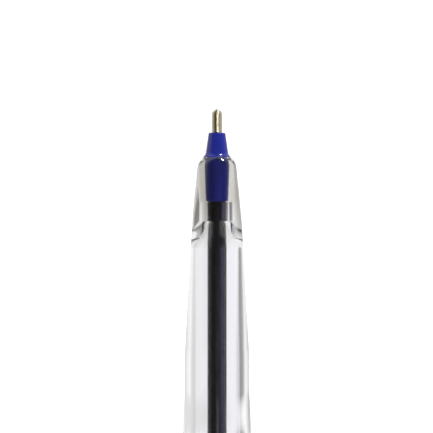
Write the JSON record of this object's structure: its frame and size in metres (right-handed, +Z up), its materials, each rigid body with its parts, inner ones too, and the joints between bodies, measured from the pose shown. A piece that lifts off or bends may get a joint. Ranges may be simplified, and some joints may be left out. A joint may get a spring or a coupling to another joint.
{
  "type": "ballpoint pen",
  "caption": "Clear stick ballpoint pen with needle tip, blue tip holder, refill tube and a vented clip cap posted on its rear end.",
  "frame": {"origin": "on the table, under the middle of the pen's bounding box", "axes": "+Z up, +Y towards the writing tip along the pen, +X to the side that the clip lies on"},
  "size_m": [0.0144, 0.1654, 0.0121],
  "materials": {
    "carbide": "polished",
    "tip_metal": "turned, bright",
    "blue_plastic": "moulded, glossy",
    "tube_plastic": "extruded, milky",
    "ink": "wet",
    "clear_plastic": "moulded, clear"
  },
  "bodies": {
    "barrel": {"barrel": "clear_plastic", "end_plug": "blue_plastic"},
    "refill": {"tip_body": "tip_metal", "tip_holder": "blue_plastic", "ink_tube": "tube_plastic", "ink_column": "ink"},
    "ball": {"ball": "carbide"},
    "cap": {"cap": "blue_plastic"}
  },
  "joints": [
    {"name": "refill_slide", "type": "slide", "parent": "barrel", "child": "refill", "axis": [0, 0.9999, -0.0134], "range_m": [0, 0.128]},
    {"name": "ball_roll", "type": "hinge", "parent": "refill", "child": "ball", "pos_m": [-0.00113, 0.08231, 0.00446], "axis": [1, 0, 0], "continuous": true},
    {"name": "cap_slide", "type": "slide", "parent": "barrel", "child": "cap", "axis": [0, -0.9999, 0.0134], "range_m": [0, 0.026]}
  ]
}
